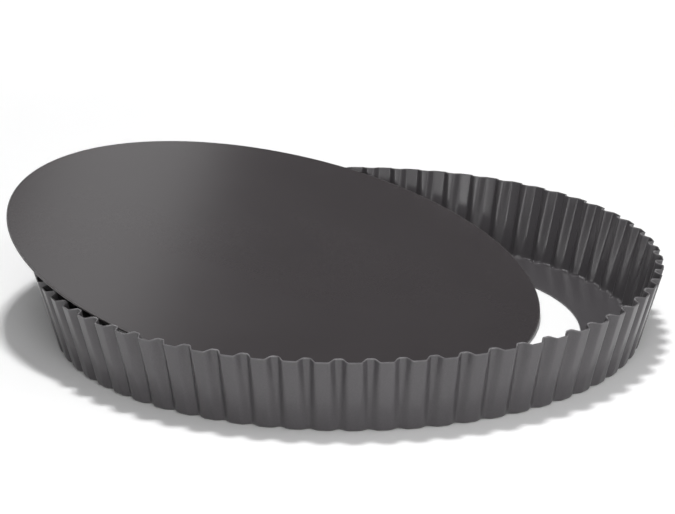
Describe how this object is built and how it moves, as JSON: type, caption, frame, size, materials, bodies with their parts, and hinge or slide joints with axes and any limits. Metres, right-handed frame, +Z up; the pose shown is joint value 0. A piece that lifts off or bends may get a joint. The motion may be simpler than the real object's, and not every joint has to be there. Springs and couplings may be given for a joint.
{
  "type": "quiche pan",
  "caption": "Fluted quiche pan in dark coated sheet steel: a ring with a leaning fluted wall and a ledge, and a plain loose base lying askew across it.",
  "frame": {"origin": "centre of the fluted ring, on the plane of the table that it stands on", "axes": "+Z up; -Y towards the front, where one lobe is centred; +X to the right, and the loose base hangs out towards -X and lowers its edge towards +X and -Y"},
  "size_m": [0.2923, 0.2799, 0.0562],
  "materials": {
    "ring_coating": "satin dark grey non-stick coating on thin sheet steel",
    "base_coating": "satin dark grey non-stick coating on thin sheet steel"
  },
  "bodies": {
    "ring": {"fluted_ring": "ring_coating"},
    "base": {"loose_base": "base_coating"}
  },
  "joints": [
    {"name": "base_lift", "type": "slide", "parent": "ring", "child": "base", "axis": [0, 0, 1], "range_m": [0, 0.08]}
  ]
}
